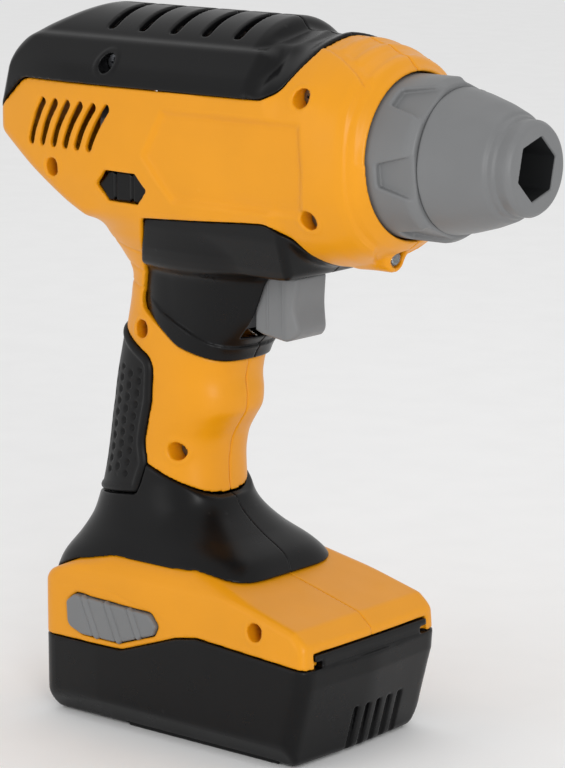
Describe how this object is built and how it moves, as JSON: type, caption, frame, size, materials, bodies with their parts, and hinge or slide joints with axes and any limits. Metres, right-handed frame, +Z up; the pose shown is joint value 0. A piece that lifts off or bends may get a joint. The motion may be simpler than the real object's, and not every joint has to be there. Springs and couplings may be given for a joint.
{
  "type": "toy cordless drill",
  "caption": "Child's cordless drill with split yellow and black shells, trigger, geared spinning chuck with hexagon socket, and slide-off battery pack.",
  "frame": {"origin": "under the middle of the battery pack, on the surface the drill stands on", "axes": "+X along the spindle towards the chuck, +Y to the drill's left, +Z up"},
  "size_m": [0.1813, 0.0642, 0.2116],
  "materials": {
    "yellow_shell": "satin moulded ABS",
    "black_shell": "satin moulded ABS",
    "black_soft": "matte grip",
    "grey_plastic": "satin moulded ABS",
    "dark_plastic": "matte",
    "white_acetal": "waxy",
    "steel": "zinc plated",
    "brass": "plain",
    "lens": "clear moulded",
    "board": "solder mask",
    "cell_wrap": "shrink sleeve"
  },
  "bodies": {
    "body": {"housing_right": "yellow_shell", "housing_left": "yellow_shell", "foot_right": "yellow_shell", "foot_left": "yellow_shell", "top_cover_right": "black_shell", "top_cover_left": "black_shell", "throat_right": "black_shell", "throat_left": "black_shell", "collar_right": "black_shell", "collar_left": "black_shell", "grip_pad": "black_soft", "trigger_switch": "dark_plastic", "direction_switch": "dark_plastic", "gearbox_plate": "dark_plastic", "gearbox_cover": "dark_plastic", "nose_plate": "dark_plastic", "motor": "steel", "layshaft_pin": "steel", "screw_nose_upper": "steel", "screw_nose_lower": "steel", "screw_rear": "steel", "screw_handle_upper": "steel", "screw_handle_lower": "steel", "screw_cover": "steel", "screw_foot": "steel", "foot_terminal_right": "brass", "foot_terminal_left": "brass", "front_bush": "brass", "work_light_lens": "lens", "work_light_board": "board"},
    "chuck": {"chuck_sleeve": "grey_plastic", "chuck_nose": "grey_plastic", "output_spindle": "steel", "output_gear": "white_acetal"},
    "layshaft": {"layshaft_gear": "white_acetal"},
    "pinion": {"motor_pinion": "brass"},
    "trigger": {"trigger": "grey_plastic", "trigger_spring": "steel"},
    "direction": {"direction_button": "black_shell"},
    "release_right": {"release_button_right": "grey_plastic", "release_spring_right": "steel"},
    "release_left": {"release_button_left": "grey_plastic", "release_spring_left": "steel"},
    "pack": {"pack_case": "black_shell", "battery_door": "black_shell", "door_screw": "steel", "cell_1": "cell_wrap", "cell_2": "cell_wrap", "cell_3": "cell_wrap", "contact_spring_1": "steel", "contact_spring_2": "steel", "contact_spring_3": "steel", "contact_plate": "brass", "pack_terminal_right": "brass", "pack_terminal_left": "brass"}
  },
  "joints": [
    {"name": "chuck_spin", "type": "hinge", "parent": "body", "child": "chuck", "pos_m": [0.08, 0, 0.1753], "axis": [1, 0, 0], "continuous": true},
    {"name": "layshaft_spin", "type": "hinge", "parent": "body", "child": "layshaft", "pos_m": [-0.01, 0, 0.1897], "axis": [1, 0, 0], "continuous": true},
    {"name": "pinion_spin", "type": "hinge", "parent": "body", "child": "pinion", "pos_m": [-0.014, 0, 0.1753], "axis": [1, 0, 0], "continuous": true},
    {"name": "trigger_pull", "type": "slide", "parent": "body", "child": "trigger", "axis": [-1, 0, 0], "range_m": [0, 0.006], "stiffness_N_per_m": 150, "springref_m": -0.002},
    {"name": "direction_slide", "type": "slide", "parent": "body", "child": "direction", "axis": [0, -1, 0], "range_m": [0, 0.004]},
    {"name": "release_right_press", "type": "slide", "parent": "body", "child": "release_right", "axis": [0, 1, 0], "range_m": [0, 0.003], "stiffness_N_per_m": 200, "springref_m": -0.002},
    {"name": "release_left_press", "type": "slide", "parent": "body", "child": "release_left", "axis": [0, -1, 0], "range_m": [0, 0.003], "stiffness_N_per_m": 200, "springref_m": -0.002},
    {"name": "pack_slide", "type": "slide", "parent": "body", "child": "pack", "axis": [0.998, 0, -0.0627], "range_m": [0, 0.11]}
  ],
  "couplings": [
    {"joint": "layshaft_spin", "follows": "chuck_spin", "ratio": -2},
    {"joint": "pinion_spin", "follows": "chuck_spin", "ratio": 5.2}
  ]
}
